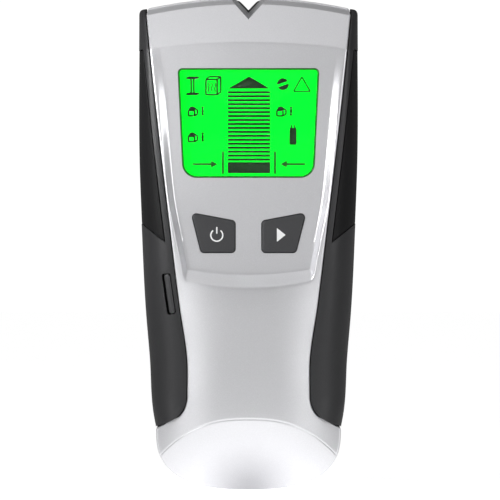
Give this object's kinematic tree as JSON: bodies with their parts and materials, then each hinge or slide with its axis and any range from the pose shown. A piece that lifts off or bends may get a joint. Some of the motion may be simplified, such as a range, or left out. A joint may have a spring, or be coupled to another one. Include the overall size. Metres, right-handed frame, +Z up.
{
  "type": "stud finder",
  "caption": "Hand-held wall scanner: silver face with lit display and push keys, dark side grips, V marking notch, rear battery door.",
  "frame": {"origin": "centre of the upper glide pad's flat face, where the tool touches the wall, under the marking notch", "axes": "+Z up the tool towards its marking notch, +Y out of the back into the wall, +X to the right as seen from the face"},
  "size_m": [0.0732, 0.0298, 0.1641],
  "materials": {
    "silver_paint": "satin metallic paint over moulded plastic",
    "dark_plastic": "fine moulded texture",
    "grip_rubber": "soft matte",
    "button_black": "satin",
    "clear_window": "clear gloss",
    "display_green": "lit green display",
    "light_guide": "milky",
    "grey_plastic": "plain",
    "soft_black": "matte",
    "circuit_board": "solder resist",
    "copper": "bright copper foil",
    "screw_steel": "zinc plated",
    "battery_case": "printed metal jacket, no label",
    "red_wire": "insulation",
    "black_wire": "insulation",
    "foam": "open-cell foam",
    "felt": "felt"
  },
  "bodies": {
    "case": {"front_cover": "silver_paint", "rear_cover": "dark_plastic", "left_grip": "dark_plastic", "right_grip": "dark_plastic", "left_grip_pad": "grip_rubber", "right_grip_pad": "grip_rubber", "scan_switch": "button_black", "display_window": "clear_window", "window_gasket": "soft_black", "lcd_glass": "display_green", "lcd_backlight": "light_guide", "lcd_holder": "grey_plastic", "lcd_connector": "soft_black", "main_board": "circuit_board", "controller_chip": "button_black", "buzzer": "button_black", "power_switch": "button_black", "mode_switch": "button_black", "board_screw_1": "screw_steel", "board_screw_2": "screw_steel", "board_screw_3": "screw_steel", "sensor_board": "circuit_board", "sensor_plate_left": "copper", "sensor_plate_centre": "copper", "sensor_plate_right": "copper", "metal_coil": "copper", "board_link": "button_black", "battery": "battery_case", "battery_snap": "soft_black", "lead_red": "red_wire", "lead_black": "black_wire", "glide_pad_top": "felt", "glide_pad_bottom": "felt", "case_screw_1": "screw_steel", "case_screw_2": "screw_steel", "case_screw_3": "screw_steel", "case_screw_4": "screw_steel"},
    "power_button": {"power_button": "button_black"},
    "mode_button": {"mode_button": "button_black"},
    "scan_key": {"scan_key": "button_black"},
    "battery_door": {"battery_door": "dark_plastic", "door_foam": "foam"}
  },
  "joints": [
    {"name": "power_press", "type": "slide", "parent": "case", "child": "power_button", "axis": [0, 0.9996, 0.0285], "range_m": [0, 0.0006], "stiffness_N_per_m": 1500},
    {"name": "mode_press", "type": "slide", "parent": "case", "child": "mode_button", "axis": [0, 0.9996, 0.0285], "range_m": [0, 0.0006], "stiffness_N_per_m": 1500},
    {"name": "scan_press", "type": "slide", "parent": "case", "child": "scan_key", "axis": [0.2284, 0.9684, 0.0999], "range_m": [0, 0.0005], "stiffness_N_per_m": 1500},
    {"name": "battery_door_hinge", "type": "hinge", "parent": "case", "child": "battery_door", "pos_m": [0, -0.0006, -0.128], "axis": [-1, 0, 0], "range_deg": [0, 75]}
  ]
}
